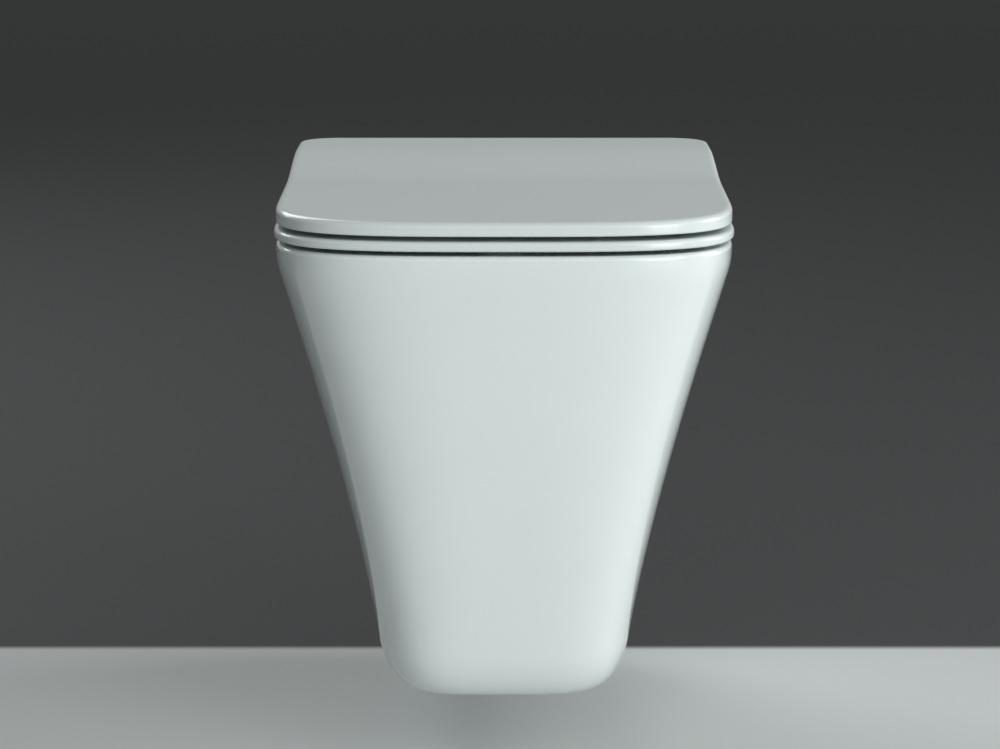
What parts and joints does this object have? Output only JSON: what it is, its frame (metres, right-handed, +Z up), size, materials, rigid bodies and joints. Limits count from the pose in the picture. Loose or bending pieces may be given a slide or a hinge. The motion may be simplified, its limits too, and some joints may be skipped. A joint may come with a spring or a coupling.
{
  "type": "wall hung toilet",
  "caption": "Shrouded wall hung toilet pan with a trap, a flat seat and a raised-back lid on damped hinges.",
  "frame": {"origin": "midpoint between the two wall stud holes, on the plane of the pan's back face", "axes": "+Z up, +Y into the wall, so the pan reaches out along -Y, +X to the right seen from the front"},
  "size_m": [0.355, 0.518, 0.403],
  "materials": {
    "china": "gloss white glaze",
    "duroplast": "polished white duroplast",
    "bumper": "soft grey, matt",
    "black_rubber": "matt",
    "chrome": "polished",
    "steel": "turned and brushed",
    "brass": "plain turned",
    "plastic": "glass filled, matt"
  },
  "bodies": {
    "pan_body": {"pan": "china", "deck": "china", "back_wall": "china", "bowl": "china", "hinge_base_left": "steel", "hinge_base_right": "steel", "hinge_gaskets": "black_rubber", "hinge_cover_left": "chrome", "hinge_cover_right": "chrome", "lid_damper": "chrome", "seat_damper": "chrome", "post_o_rings": "black_rubber", "hinge_bolts": "steel", "hinge_plugs": "black_rubber", "hinge_nuts": "brass", "clamp_block_left": "plastic", "clamp_block_right": "plastic", "stud_washers": "steel", "stud_nuts": "steel", "side_screws": "steel", "side_caps": "china", "inlet_seal": "black_rubber"},
    "seat_body": {"seat_ring": "duroplast", "seat_bumpers": "bumper", "seat_spindle": "steel", "seat_bushes": "plastic"},
    "lid_body": {"lid": "duroplast", "lid_bumpers": "bumper", "lid_spindle": "steel", "lid_bushes": "plastic"}
  },
  "joints": [
    {"name": "seat_hinge", "type": "hinge", "parent": "pan_body", "child": "seat_body", "pos_m": [0, -0.055, 0.111], "axis": [-1, 0, 0], "range_deg": [0, 94]},
    {"name": "lid_hinge", "type": "hinge", "parent": "seat_body", "child": "lid_body", "pos_m": [0, -0.055, 0.111], "axis": [-1, 0, 0], "range_deg": [0, 94]}
  ]
}
